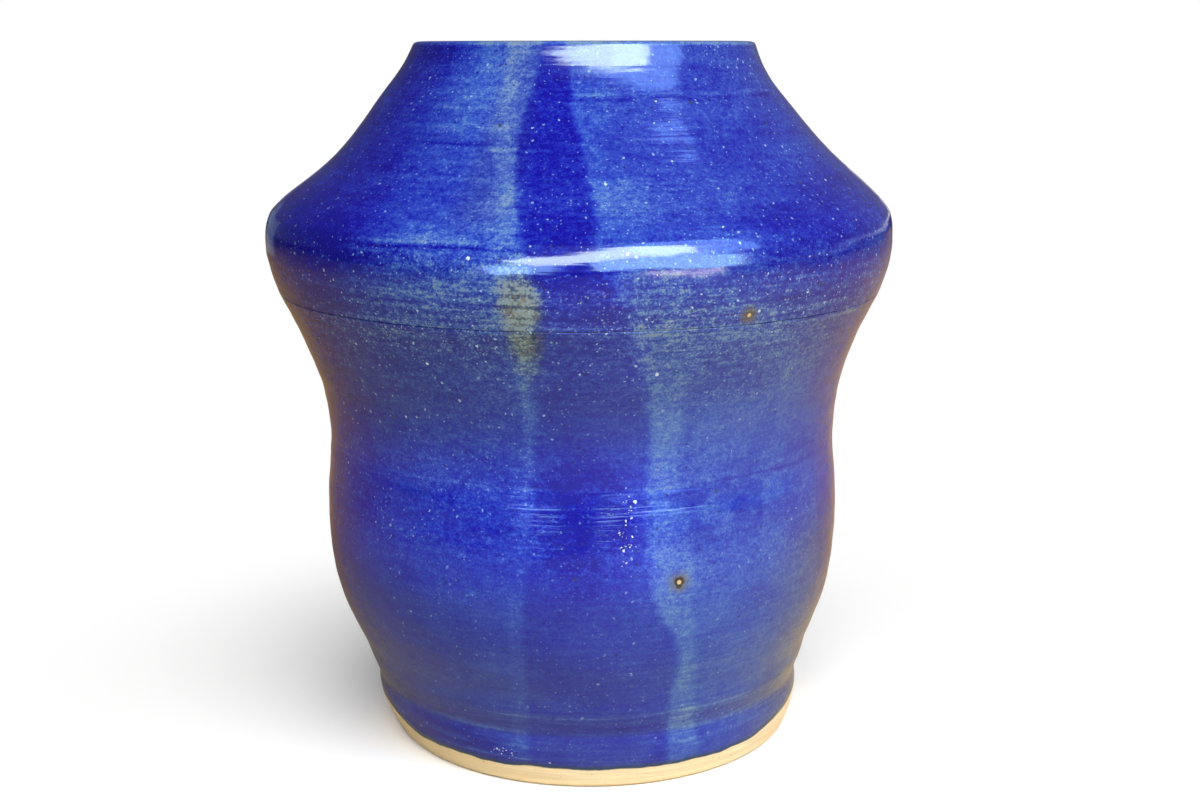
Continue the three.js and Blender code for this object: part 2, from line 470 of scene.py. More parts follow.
# Fine lines that the fingers and the sponge leave round the wall
line_group, takes, gives = effect("throwing_lines", {"Spacing": 1.0}, ["Lines", "Ridges"])
place = node_in(line_group, "TexCoord").outputs["Object"]
sway = centred(line_group, stretched_noise(line_group, 55, 20, 1, 3), 0.9)
px, py, pz = node_in(line_group, "SeparateXYZ", {0: place}).outputs
swayed = reckon(line_group, "ADD", reckon(line_group, "DIVIDE", pz, mm), sway)
climbed = reckon(line_group, "DIVIDE", swayed, takes["Spacing"])
flat = node_in(line_group, "CombineXYZ", {
    0: reckon(line_group, "DIVIDE", px, 26 * mm), 1: reckon(line_group, "DIVIDE", py, 26 * mm),
    2: climbed}).outputs[0]
fine = node_in(line_group, "TexNoise", {"Vector": flat, "Scale": 1.5, "Detail": 4}).outputs[0]
broad = node_in(line_group, "TexNoise", {"Vector": flat, "Scale": 0.3, "Detail": 2}).outputs[0]
line_group.links.new(rise(line_group, fine, 0.3, 0.7), gives["Lines"])
line_group.links.new(rise(line_group, broad, 0.3, 0.7), gives["Ridges"])

# One line round the wall, where a nail or a rib has scored it; the same line also draws pale lines
# that paint highlights
score_group, takes, gives = effect(
    "scored_line",
    {"Azimuth": 0.0, "Height": 0.0, "At height": 0.0, "Width": 0.4, "Left": -180.0,
     "Right": 180.0}, ["Mask"])
swayed = reckon(
    score_group, "ADD", takes["Height"],
    centred(score_group, stretched_noise(score_group, 30, 30, 1, 11), 0.5))
off = reckon(
    score_group, "DIVIDE", reckon(score_group, "SUBTRACT", swayed, takes["At height"]),
    takes["Width"])
line = reckon(score_group, "EXPONENT", reckon(score_group, "MULTIPLY", reckon(
    score_group, "MULTIPLY", off, off), -1))
fading = 8
from_left = rise(
    score_group, takes["Azimuth"], takes["Left"],
    reckon(score_group, "ADD", takes["Left"], fading))
from_right = rise(
    score_group, takes["Azimuth"], takes["Right"],
    reckon(score_group, "SUBTRACT", takes["Right"], fading))
broken = rise(score_group, stretched_noise(score_group, 5, 1.5, 2, 5), 0.32, 0.52)
score_group.links.new(product(score_group, line, from_left, from_right, broken), gives["Mask"])

# Specks in the glaze: some of the cells of a fine mesh each hold one round dot
speck_group, takes, gives = effect(
    "glaze_specks", {"Spacing": 2.0, "Size": 0.3, "Share": 0.5}, ["Mask", "Tone"])
place = node_in(speck_group, "TexCoord").outputs["Object"]
jitter = node_in(speck_group, "TexNoise", {"Vector": place, "Scale": 2200, "Detail": 1}).outputs[1]
jitter = node_in(
    speck_group, "VectorMath", {0: jitter, 1: (0.5, 0.5, 0.5)}, operation="SUBTRACT").outputs[0]
jitter = node_in(
    speck_group, "VectorMath", {0: jitter, "Scale": 0.55 * mm}, operation="SCALE").outputs[0]
place = node_in(speck_group, "VectorMath", {0: place, 1: jitter}, operation="ADD").outputs[0]
cells = node_in(speck_group, "TexVoronoi", {
    "Vector": place, "Scale": reckon(speck_group, "DIVIDE", 1 / mm, takes["Spacing"])})
chance, size_chance, tone = node_in(
    speck_group, "SeparateColor", {0: cells.outputs["Color"]}).outputs
size = product(
    speck_group, reckon(speck_group, "DIVIDE", takes["Size"], takes["Spacing"]),
    reckon(speck_group, "ADD", reckon(speck_group, "MULTIPLY", size_chance, 0.8), 0.4))
dot = rise(speck_group, cells.outputs["Distance"], size, reckon(speck_group, "MULTIPLY", size, 0.6))
chosen = reckon(speck_group, "LESS_THAN", chance, takes["Share"])
speck_group.links.new(product(speck_group, dot, chosen), gives["Mask"])
speck_group.links.new(tone, gives["Tone"])

# An iron spot that has bled through the glaze, with its brown halo
iron_group, takes, gives = effect(
    "iron_spot", {"Place": (0.0, 0.0, 0.0), "Size": 1.0}, ["Spot", "Halo", "Heart"])
place = node_in(iron_group, "TexCoord").outputs["Object"]
apart = node_in(
    iron_group, "VectorMath", {0: place, 1: takes["Place"]}, operation="DISTANCE").outputs["Value"]
middle = reckon(iron_group, "DIVIDE", reckon(iron_group, "DIVIDE", apart, mm), takes["Size"])
apart = reckon(
    iron_group, "ADD", middle, centred(iron_group, stretched_noise(iron_group, 0.8, 0.8, 2), 0.6))
iron_group.links.new(rise(iron_group, apart, 1.25, 0.75), gives["Spot"])
iron_group.links.new(rise(iron_group, apart, 3, 0.2), gives["Halo"])
iron_group.links.new(rise(iron_group, middle, 0.5, 0.3), gives["Heart"])

# The dips and runs that were poured over the closed crock: where the glaze is thick, and where
# it has run thin beside it
dips_group, takes, gives = effect(
    "glaze_dips", {"Azimuth": 0.0, "Height": 0.0}, ["Thick", "Thin"])
whole_height, half_round = (0, 130), (-45, 45)
ragged_azimuth = total_of(
    dips_group, takes["Azimuth"], centred(dips_group, stretched_noise(dips_group, 3, 1.2, 3), 1.3),
    centred(dips_group, stretched_noise(dips_group, 14, 12, 1, 9), 1.2))
front_left = curve_through(
    dips_group, takes["Height"],
    [(0, -13), (20, -12), (38.6, -10.2), (71, -8.0), (83, -7.3), (88, -6.2), (91, -5.5),
     (93, -6), (97, -7.8), (99, -8.8), (105.5, -11.4), (115.5, -12.8), (121, -12),
     (127, -10.6), (130, -10)], whole_height, half_round)
front_right = curve_through(
    dips_group, takes["Height"],
    [(0, 22), (20, 22), (28, 21), (38, 15.5), (73, 13), (85.6, 9), (90.7, 7), (93, 5.5),
     (96.4, 3.4), (105.6, 2.8), (119, -0.8), (130, -3)], whole_height, half_round)
thick = run_mask(dips_group, ragged_azimuth, front_left, front_right, 1.1)
for left, right, weight in [(128, 158, 0.8), (-112, -88, 0.7), (-172, -160, 0.6), (78, 92, 0.5)]:
    run = run_mask(dips_group, ragged_azimuth, left, right, 1.6)
    thick = reckon(dips_group, "MAXIMUM", thick, reckon(dips_group, "MULTIPLY", run, weight))
dips_group.links.new(thick, gives["Thick"])
left_edge = curve_through(
    dips_group, takes["Height"],
    [(0, -19), (45, -12.5), (71, -10.2), (85, -12), (93, -12.6), (99, -13.2), (107, -15.2),
     (115, -19), (130, -21.5)],
    whole_height, half_round)
left_gap = reckon(
    dips_group, "SUBTRACT", front_left,
    reckon(dips_group, "MULTIPLY", rise(dips_group, takes["Height"], 110, 124), 4))
left_thin = run_mask(dips_group, ragged_azimuth, left_edge, left_gap, 1.6)
right_edge = curve_through(
    dips_group, takes["Height"],
    [(0, 34), (20, 27), (38, 24), (60, 21), (92, 18), (99, 14), (130, 8)],
    whole_height, half_round)
right_thin = run_mask(dips_group, ragged_azimuth, front_right, right_edge, 1.6)
left_fade = reckon(
    dips_group, "MULTIPLY", total_of(
        dips_group, reckon(dips_group, "MULTIPLY", rise(dips_group, takes["Height"], 38, 70), 0.7),
        0.3), total_of(dips_group, 0.95, centred(
            dips_group, stretched_noise(dips_group, 5, 3.5, 3, 17), 1.1)))
right_fade = total_of(
    dips_group, reckon(dips_group, "MULTIPLY", rise(dips_group, takes["Height"], 96, 88), 0.5),
    0.35)
thin = reckon(
    dips_group, "MAXIMUM", product(dips_group, left_thin, left_fade),
    product(dips_group, right_thin, right_fade))
for left, right, weight in [
        (120, 127, 0.9), (159, 168, 0.7), (-87, -78, 0.9), (-122, -113, 0.5)]:
    run = run_mask(dips_group, ragged_azimuth, left, right, 2.2)
    thin = reckon(dips_group, "MAXIMUM", thin, reckon(dips_group, "MULTIPLY", run, weight))
dips_group.links.new(thin, gives["Thin"])

# The buff clay where it is bare: warm, faintly ringed and full of fine grog
clay_group, takes, gives = effect("bare_clay", {}, ["Colour", "Grain"])
cloudy = stretched_noise(clay_group, 12, 5, 3)
grog = use(clay_group, speck_group, Spacing=1.1, Size=0.22, Share=0.45)
rings = use(clay_group, line_group, Spacing=0.7)["Lines"]
buff = mix_colours(clay_group, cloudy, (1, 0.71, 0.45, 1), (1, 0.86, 0.64, 1))
ringed = mix_colours(
    clay_group, reckon(clay_group, "MULTIPLY", rings, 0.3), buff, (0.66, 0.44, 0.26, 1))
speckled = mix_colours(
    clay_group, reckon(clay_group, "MULTIPLY", grog["Mask"], 0.55), ringed, (0.42, 0.27, 0.15, 1))
clay_group.links.new(speckled, gives["Colour"])
clay_group.links.new(
    total_of(clay_group, stretched_noise(clay_group, 0.5, 0.5, 3), rings), gives["Grain"])

# The cobalt glaze by its thickness: grey-green where it is thin, ultramarine where it pools, and
# curdled all over into fine darker and paler grains
glaze_group, takes, gives = effect(
    "cobalt_by_thickness",
    {"Thickness": 0.5, "Grain": 1.0, "Specks": 1.0, "Dry": 0.0, "Vivid": 0.0, "Iron": 0.0,
     "Halo": 0.0}, ["Colour"])
curdled = total_of(
    glaze_group, centred(glaze_group, stretched_noise(glaze_group, 0.36, 0.30, 1, 31), 0.40),
    centred(glaze_group, stretched_noise(glaze_group, 0.9, 0.65, 1, 33), 0.34),
    centred(glaze_group, stretched_noise(glaze_group, 2.6, 1.5, 1, 35), 0.22))
grained = total_of(
    glaze_group, takes["Thickness"], product(glaze_group, curdled, takes["Grain"]))


def colours_along(tree, value, colours):
    """A colour read off a row of colours, each at its share of the way."""
    node = node_in(tree, "ValToRGB", {0: value})
    while len(node.color_ramp.elements) < len(colours):
        node.color_ramp.elements.new(0.5)
    for element, (at, colour) in zip(node.color_ramp.elements, colours):
        element.position, element.color = at, (*colour, 1)
    return node.outputs[0]


wet = colours_along(glaze_group, grained, [
    (0.0, (0.150, 0.235, 0.400)), (0.14, (0.080, 0.172, 0.450)), (0.30, (0.040, 0.100, 0.440)),
    (0.48, (0.020, 0.050, 0.390)), (0.66, (0.012, 0.025, 0.345)), (0.84, (0.007, 0.009, 0.300)),
    (1.0, (0.004, 0.003, 0.235))])
# The dry colours also paint the warm table's reflection where the wall turns down under the
# shoulder
dry_glaze_and_painted_reflection = colours_along(glaze_group, grained, [
    (0.0, (0.250, 0.300, 0.330)), (0.22, (0.140, 0.180, 0.205)), (0.42, (0.072, 0.098, 0.135)),
    (0.66, (0.036, 0.052, 0.105)), (1.0, (0.020, 0.028, 0.080))])
vivid = node_in(
    glaze_group, "Mix", {0: takes["Vivid"], 6: wet, 7: (0.95, 0.95, 1.35, 1)}, data_type="RGBA",
    blend_type="MULTIPLY").outputs[2]
rusty = product(
    glaze_group, rise(glaze_group, takes["Dry"], 0.4, 0.8),
    rise(glaze_group, stretched_noise(glaze_group, 0.8, 1.4, 2, 41), 0.5, 0.66), 0.7)
dry_glaze_and_painted_reflection = mix_colours(glaze_group, rusty, dry_glaze_and_painted_reflection, (0.155, 0.115, 0.075, 1))
colour = mix_colours(glaze_group, takes["Dry"], vivid, dry_glaze_and_painted_reflection)
for spacing, size, share, weight, tint, follows in [
        (1.2, 0.24, 0.5, 0.75, (0.005, 0.009, 0.06, 1), False),
        (4.6, 0.40, 0.30, 0.8, (0.030, 0.040, 0.030, 1), False),
        (0.80, 0.17, 0.60, 0.55, (0.26, 0.42, 0.62, 1), True),
        (1.5, 0.25, 0.50, 0.75, (0.34, 0.52, 0.72, 1), True),
        (4.2, 0.36, 0.30, 0.95, (0.58, 0.72, 0.85, 1), True)]:
    mask = use(glaze_group, speck_group, Spacing=spacing, Size=size, Share=share)["Mask"]
    amount = reckon(glaze_group, "MULTIPLY", mask, weight)
    if follows:
        amount = reckon(glaze_group, "MULTIPLY", amount, takes["Specks"], clamp=True)
    colour = mix_colours(glaze_group, amount, colour, tint)
# Specks pushed past 1.5 turn into pale sparks: the glaze's own crowded white specks, and painted
# glints where a finish heaps specks on for a highlight
sparks_and_painted_glints = product(
    glaze_group, use(glaze_group, speck_group, Spacing=0.62, Size=0.2, Share=0.85)["Mask"],
    reckon(glaze_group, "SUBTRACT", takes["Specks"], 1.5, clamp=True))
colour = mix_colours(glaze_group, sparks_and_painted_glints, colour, (0.66, 0.74, 0.85, 1))
colour = mix_colours(
    glaze_group, reckon(glaze_group, "MULTIPLY", takes["Halo"], 0.85), colour,
    (0.125, 0.095, 0.025, 1))
colour = mix_colours(glaze_group, takes["Iron"], colour, (0.030, 0.022, 0.014, 1))
glaze_group.links.new(colour, gives["Colour"])


def on_wall(radius, azimuth, height):
    """A place on the wall, in metres."""
    around = math.radians(azimuth)
    return (
        radius * math.sin(around) * mm, -radius * math.cos(around) * mm, height * mm)


def glazed(name, make_depth, make_clay, make_grain, iron_places):
    """A cobalt-glazed finish. make_depth gives the glaze's thickness over the piece, make_clay
    the share of bare clay and of the dark edge where the glaze stops above it, and make_grain
    how far the glaze is curdled, specked with white and with painted glints, dry and vivid.
    The dryness also paints the warm table's reflection under the shoulder."""
    finish = bpy.data.materials.new(name)
    finish.use_nodes = True
    tree = finish.node_tree
    shader = tree.nodes["Principled BSDF"]
    where = use(tree, where_group)
    lines = use(tree, line_group, Spacing=0.8)
    depth = make_depth(tree, where, lines)
    iron, halo, heart = 0.0, 0.0, 0.0
    # Only a large spot has bled into a halo and blistered in its middle
    large = 0.6
    for place, size, darkness in iron_places:
        spot = use(tree, iron_group, Place=place, Size=size)
        iron = reckon(tree, "MAXIMUM", iron, reckon(tree, "MULTIPLY", spot["Spot"], darkness))
        if size > large:
            halo = reckon(tree, "MAXIMUM", halo, spot["Halo"])
            heart = reckon(tree, "MAXIMUM", heart, spot["Heart"])
    grain, specks, dry_glaze_and_painted_reflection, vivid = make_grain(tree, where)
    glaze = use(
        tree, glaze_group, Thickness=depth, Grain=grain, Specks=specks, Dry=dry_glaze_and_painted_reflection, Vivid=vivid,
        Iron=iron, Halo=halo)["Colour"]
    glaze = mix_colours(tree, heart, glaze, (0.62, 0.42, 0.26, 1))
    bare, edge = make_clay(tree, where)
    clay = use(tree, clay_group)
    edged = mix_colours(tree, edge, glaze, (0.010, 0.035, 0.075, 1))
    number_into(tree, shader.inputs["Base Color"], mix_colours(tree, bare, edged, clay["Colour"]))
    glassy = total_of(
        tree, 0.07, reckon(tree, "MULTIPLY", stretched_noise(tree, 6, 3, 3, 4), 0.06),
        reckon(tree, "MULTIPLY", lines["Lines"], 0.05))
    roughness = node_in(tree, "Mix", {0: bare, 2: glassy, 3: 0.82}).outputs[0]
    number_into(tree, shader.inputs["Roughness"], roughness)
    orange_peel = stretched_noise(tree, 2.4, 1.6, 2, 8)
    slow_waves = stretched_noise(tree, 11, 6, 1, 15)
    pits = use(tree, speck_group, Spacing=1.6, Size=0.34, Share=0.4)["Mask"]
    # Heights in millimetres, from the fine lines to the step where the glaze stops
    relief = weighed(
        tree, (lines["Lines"], 0.013), (depth, 0.04), (lines["Ridges"], 0.02),
        (orange_peel, 0.03), (slow_waves, 0.25), (pits, 0.012), (bare, -0.16),
        (reckon(tree, "MULTIPLY", bare, clay["Grain"]), 0.05))
    bump = node_in(tree, "Bump", {"Strength": 1, "Distance": mm, "Height": relief})
    number_into(tree, shader.inputs["Normal"], bump.outputs[0])
    shader.inputs["IOR"].default_value = 1.5
    return finish


def pooled(tree, where, depth, pools):
    """Glaze that has gathered in pools, or drawn away from patches: where they are, in degrees
    round and millimetres up, half their width and height, and how much thicker they are."""
    for *place_and_size, weight in pools:
        pool = pool_mask(tree, where, *place_and_size)
        depth = total_of(tree, depth, reckon(tree, "MULTIPLY", pool, weight))
    return depth


def scored(tree, where, depth, scores):
    """Glaze over lines scored in the clay, and over pale lines painted in as highlights: their
    height and width in millimetres, their ends in degrees round, and how much thicker the glaze is
    in them."""
    for at_height, width, left, right, weight in scores:
        line = use(
            tree, score_group, Azimuth=where["Azimuth"], Height=where["Height"],
            At_height=at_height, Width=width, Left=left, Right=right)["Mask"]
        depth = total_of(tree, depth, reckon(tree, "MULTIPLY", line, weight))
    return depth


def in_bounds(tree, depth):
    return reckon(tree, "MINIMUM", reckon(tree, "MAXIMUM", depth, 0), 1)


base_pools = [
    (0.5, 53.5, 8.5, 8.5, 0.26), (0.5, 45, 5, 7, 0.16), (7, 50.5, 4, 4, 0.12),
    (24, 48.5, 4.5, 3, 0.16), (22, 55, 5, 1.4, 0.18), (37, 52, 4.5, 4.5, 0.18),
    (36, 59.5, 4, 1.3, 0.12), (52, 60.5, 5, 1.1, 0.12), (46, 50, 7, 2.4, 0.11),
    (-30, 51.5, 8, 4.5, 0.06), (-42, 53, 7, 4, 0.04), (-14, 52, 3, 4, 0.04),
    (24, 4, 8, 7, 0.14), (100, 53, 20, 6, 0.22), (-110, 50, 18, 7, 0.22), (165, 56, 14, 6, 0.2),
    (-36, 5, 22, 4.5, 0.3), (38, 5, 18, 4.5, 0.08), (-8, 82, 2.2, 14, -0.08)]
# Painted highlights: the pale lines at 11, 7.6 and 5.8 mm round the left of the foot, where the
# glaze is made thinner, stand for highlights along the flange. The others are scored lines
base_lines_and_painted_highlights = [
    (57.5, 0.30, -70, 24, -0.22), (61, 0.25, -50, -14, -0.12), (57.6, 0.4, 26, 75, 0.25),
    (56.4, 0.5, 14, 34, 0.2), (14.7, 0.3, -24, 48, -0.2), (11, 0.4, -45, -10, -0.2),
    (10.7, 0.4, 22, 45, -0.1), (84.6, 0.3, -60, 80, -0.12), (7.6, 0.5, -62, -24, -0.4),
    (5.8, 0.4, -44, -6, -0.4), (12.6, 0.8, -75, 80, 0.1)]


def base_depth(tree, where, lines):
    azimuth, height = where["Azimuth"], where["Height"]
    dips = use(tree, dips_group, Azimuth=azimuth, Height=height)
    plain = curve_through(
        tree, azimuth,
        [(-180, 0.55), (-140, 0.5), (-90, 0.85), (-72, 0.82), (-55, 0.75), (-30, 0.62),
         (-10, 0.56), (10, 0.5), (30, 0.41), (58, 0.47), (76, 0.68), (110, 0.66), (150, 0.6),
         (180, 0.55)], (-180, 180), (0, 1))
    mottle = centred(tree, stretched_noise(tree, 14, 9, 3, 2), 0.20)
    drift = centred(tree, stretched_noise(tree, 5, 40, 2, 6), 0.10)
    under_shoulder = rise(tree, height, 74, 90)
    line_weight = total_of(
        tree, reckon(tree, "MULTIPLY", under_shoulder, 0.26), 0.09,
        reckon(tree, "MULTIPLY", rise(tree, height, 20, 12), 0.10))
    depth = total_of(
        tree, plain, mottle, drift,
        reckon(tree, "MULTIPLY", reckon(tree, "SUBTRACT", 0.5, lines["Lines"]), line_weight),
        reckon(tree, "MULTIPLY", dips["Thick"], 0.15),
        reckon(tree, "MULTIPLY", dips["Thin"], -0.22))
    depth = scored(tree, where, pooled(tree, where, depth, base_pools), base_lines_and_painted_highlights)
    return in_bounds(tree, depth)


glaze_line = 4.1


def base_clay(tree, where):
    height = total_of(
        tree, where["Height"], centred(tree, stretched_noise(tree, 9, 30, 3, 13), 0.9))
    raised_left = run_mask(tree, where["Azimuth"], -80, -58, 12)
    raised_right = run_mask(tree, where["Azimuth"], 62, 110, 16)
    line = total_of(tree, glaze_line, weighed(tree, (raised_left, 3), (raised_right, 3)))
    above = reckon(tree, "SUBTRACT", height, line)
    foot = rise(tree, above, 0.12, -0.12)
    edge = product(tree, rise(tree, above, 1.1, 0.3), rise(tree, above, -0.1, 0.1))
    seat = product(
        tree, rise(tree, where["Height"], 84.8, 85.05), rise(tree, where["Radius"], 55.3, 55.0),
        rise(tree, where["Radius"], 49.0, 49.4))
    return reckon(tree, "MAXIMUM", foot, seat), reckon(tree, "MULTIPLY", edge, 0.8)


def to_either_side(tree, azimuth, start, end):
    """Rises to one side of the front, and is gone again at the back."""
    at_back = rise(tree, reckon(tree, "ABSOLUTE", azimuth), 110, 165)
    return reckon(
        tree, "MULTIPLY", rise(tree, azimuth, start, end), reckon(tree, "SUBTRACT", 1, at_back))


def base_grain(tree, where):
    crowded = rise(tree, where["Height"], 66, 88)
    in_pools = pool_mask(tree, where, 0, 52, 60, 13, 0.7)
    patchy = rise(tree, stretched_noise(tree, 22, 16, 2, 21), 0.35, 0.65)
    deepest = pool_mask(tree, where, 1, 51, 9, 10, 0.5)
    leftward = product(
        tree, to_either_side(tree, where["Azimuth"], 8, -22), rise(tree, where["Height"], 36, 50))
    # Painted glints: specks heaped on so thickly that they turn to pale sparks, standing in for a
    # lamp's broken reflection down the waist and for the highlights on the left of the foot
    painted_glints = 0.0
    for place_and_size in [(9.8, 50.5, 1.7, 7), (-19, 6.6, 4.5, 1.1), (-8, 5.2, 1.8, 0.6),
                           (-28, 7.6, 2, 0.7)]:
        painted_glints = reckon(
            tree, "MAXIMUM", painted_glints, pool_mask(tree, where, *place_and_size, 0.6))
    grain = total_of(
        tree, 0.5, weighed(
            tree, (crowded, 1.05), (in_pools, 0.4), (deepest, 0.55), (leftward, 0.25)))
    specks = total_of(
        tree, 0.2, weighed(
            tree, (crowded, 1.1), (patchy, 0.3), (leftward, 0.45), (painted_glints, 2.5)))
    beside_stripe = pool_mask(tree, where, -8.3, 84, 2.6, 5, 0.7)
    middle_of_foot = product(
        tree, rise(tree, where["Height"], 11, 9), run_mask(tree, where["Azimuth"], -10, 18, 6))
    over_foot = product(
        tree, rise(tree, where["Height"], 16.5, 14), rise(tree, where["Height"], 10, 11.5))
    low_right = product(
        tree, to_either_side(tree, where["Azimuth"], 35, 65), rise(tree, where["Height"], 52, 40))
    # Painted reflection: the grey dryness from 60 mm up under the shoulder stands for the warm
    # table that the down-turned wall mirrors there
    dry_glaze_and_painted_reflection = weighed(
        tree, (beside_stripe, 0.8), (rise(tree, where["Height"], 60, 76), 0.11),
        (middle_of_foot, 0.16), (over_foot, 0.16), (low_right, 0.5))
    at_waist = product(
        tree, rise(tree, where["Height"], 34, 44), rise(tree, where["Height"], 67, 58),
        total_of(tree, 0.25, product(
            tree, rise(tree, where["Azimuth"], -70, -45), rise(tree, where["Azimuth"], 26, 12),
            0.65)))
    under_stripe = product(
        tree, rise(tree, where["Height"], 70, 80), run_mask(tree, where["Azimuth"], -6, 12, 3),
        0.45)
    return grain, specks, dry_glaze_and_painted_reflection, total_of(tree, at_waist, under_stripe)


base_iron = [
    (on_wall(49.1, 20.4, 40.9), 0.95, 1), (on_wall(52.3, -3, 76), 0.4, 0.7),
    (on_wall(48.6, -5.8, 54.8), 0.32, 0.6), (on_wall(48.8, 3.3, 53.4), 0.3, 0.6),
    (on_wall(49.0, 1, 48.6), 0.32, 0.6), (on_wall(49.1, -0.4, 42.5), 0.3, 0.6),
    (on_wall(48.8, 26.5, 53), 0.3, 0.6), (on_wall(49.0, -152, 38), 0.9, 1),
    (on_wall(50.6, 118, 72), 0.7, 1), (on_wall(47.4, -75, 28), 0.5, 1)]
base.data.materials.append(
    glazed("base_glaze", base_depth, base_clay, base_grain, base_iron))
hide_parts("crock_base")
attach(base, "base")

# ---------------------------------------------------------------- cap
# The cap of the lid is thrown as a hollow cone with a rounded shoulder and a flat top, which is
# trimmed to a ring so that the lid can be stood on it. The glaze stops at its rim, which sits bare
# on the base's ledge.
cap_top = [(20.5, 128.8), (21.5, 128.85), (22.1, 129.2), (22.7, 129.85), (23.2, 130), (26, 130)]
cap_outside = [
    (28.6, 130), (30.3, 129.97), (30.95, 129.85), (31.35, 129.6), (31.5, 129.3),
    (31.68, 128.85), (32.02, 128.05), (32.4, 127.2), (32.82, 126.35), (33.25, 125.55),
    (33.93, 124.5), (34.87, 123.1),
    (36.07, 121.6), (37.4, 120),
    (39.15, 117.7), (40.98, 115.4), (42.98, 113), (45.35, 110.4), (47.95, 108), (50.4, 106),
    (52.85, 104), (54.15, 102.95), (55.15, 102.1), (55.95, 101.25), (56.7, 100.45),
    (57.35, 99.7), (57.75, 98.7), (58.05, 97.5), (58.2, 96.3), (58.25, 95), (58.2, 93.3),
    (58.0, 91.7), (57.65, 90.1), (57.2, 88.3), (56.7, 86.7), (56.4, 85.8), (56.27, 85.42),
    (56.2, 85.36)]
cap_seat = [(55.6, 85.36), (53, 85.36), (51, 85.36), (50.55, 85.5)]
cap_inside = [
    (50.6, 86.6), (51.4, 88.4), (52.4, 91), (53.2, 93.2), (53.25, 95), (52.9, 96.8), (51.9, 98.3),
    (49.2, 100.6), (45, 103.9), (41.2, 107.5), (37.8, 111.1), (34.6, 115), (32, 118.6),
    (30.3, 120.9), (28.9, 122.4), (27, 123.15), (25, 123.3), (15, 123.3), (5, 123.3)]

cap = throw("thrown_cap", cap_top + cap_outside + cap_seat + cap_inside, waver)


def cap_outer_zone(r, z, around):
    """The cone and the shoulder, without the top, the rim and the hollow inside."""
    middle_of_wall = 52 if z < 97 else 55 - (z - 97) * 1.02
    if r < middle_of_wall:
        return 0
    return between_points(
        [(86.5, 0), (89.5, 1), (92, 0.8), (95, 0.5), (100, 0.4), (104, 0.3), (118, 0.3),
         (123, 0.2), (128, 0)], z)


mark_zone(cap, "outside", cap_outer_zone)


def eased(share):
    share = min(max(share, 0), 1)
    return share * share * (3 - 2 * share)


deepest_dent = 1.2


def flat_of_shoulder(r, z, around):
    """Where the front of the shoulder was pressed in a little, lower down on its left, and of the
    shallow hollow under the rim. Depths in millimetres, made a share of the deepest."""
    if r < (50 if z < 104 else 50 - (z - 104) * 0.92):
        return 0
    steep = between_points(
        [(94.6, 0), (95.2, 0.03), (95.6, 0.065), (96, 0.12), (96.6, 0.25), (97.2, 0.43),
         (97.8, 0.63), (98.4, 0.83), (99, 1), (99.6, 1.1), (100.4, 1.17), (101.2, 1.2),
         (102, 1.2), (103, 1.12), (105, 0.92), (108, 0.55), (112, 0.12), (117, 0)], z)
    gentle = between_points(
        [(95, 0), (95.5, 0.01), (96.3, 0.07), (97.1, 0.18), (98, 0.35), (98.8, 0.525),
         (99.5, 0.68), (100.5, 0.82), (101.5, 0.855), (102.4, 0.83), (104, 0.73), (107, 0.45),
         (112, 0.08), (117, 0)], z)
    below_rim = between_points([(115, 0), (121.5, 0.3), (123.5, 0.3), (128.5, 0)], z)
    pressed = steep + (gentle - steep) * eased((around + 3) / 9)
    pressed *= eased((around + 42) / 26) * eased((56 - around) / 26)
    pressed += below_rim * eased((around + 35) / 20) * eased((26 - around) / 22)
    return pressed / deepest_dent


mark_zone(cap, "front", flat_of_shoulder)
bpy.context.view_layer.objects.active = cap
pressed_in = cap.modifiers.new("pressed_in", "DISPLACE")
pressed_in.vertex_group = "front"
pressed_in.mid_level = 0
pressed_in.strength = -deepest_dent * mm
bpy.ops.object.modifier_apply(modifier=pressed_in.name)
ripple(cap, "outside", around=80, climb=2.6, depth=0.22)
ripple(cap, "outside", around=40, climb=22, depth=0.5)


cap_pools = [
    (-30, 105, 14, 4, 0.12), (-8.6, 89.5, 2.8, 5, -0.04), (60, 103, 26, 5, 0.2),
    (-60, 99, 26, 7, 0.2), (0, 94.5, 7, 2.4, 0.2), (-34, 95, 16, 2.2, 0.2),
    (-22, 97.5, 16, 5, -0.06), (-36, 124, 16, 5, -0.12), (40, 96, 14, 3, 0.15),
    (110, 98, 30, 5, 0.3), (-130, 99, 26, 6, 0.25)]
cap_scores = [
    (98.1, 0.35, -48, -4, 0.45), (98.9, 0.3, -42, -8, -0.25), (121.4, 0.35, -4, 70, -0.15),
    (120.6, 0.4, -4, 70, 0.3), (116.2, 0.8, -52, -14, -0.16), (125.6, 0.3, 8, 38, 0.3),
    (89.4, 0.3, -60, 50, 0.3), (87.6, 0.3, -70, 30, 0.25), (108, 0.4, -50, -15, -0.15),
    (113.6, 0.35, -42, -18, 0.25), (119.5, 0.6, -45, -16, -0.12)]
even_depth = 0.58


def outward(tree, where):
    """The runs start at the edge of the top, and the glaze is even in the middle of it."""
    return rise(tree, where["Radius"], 12, 29.5)


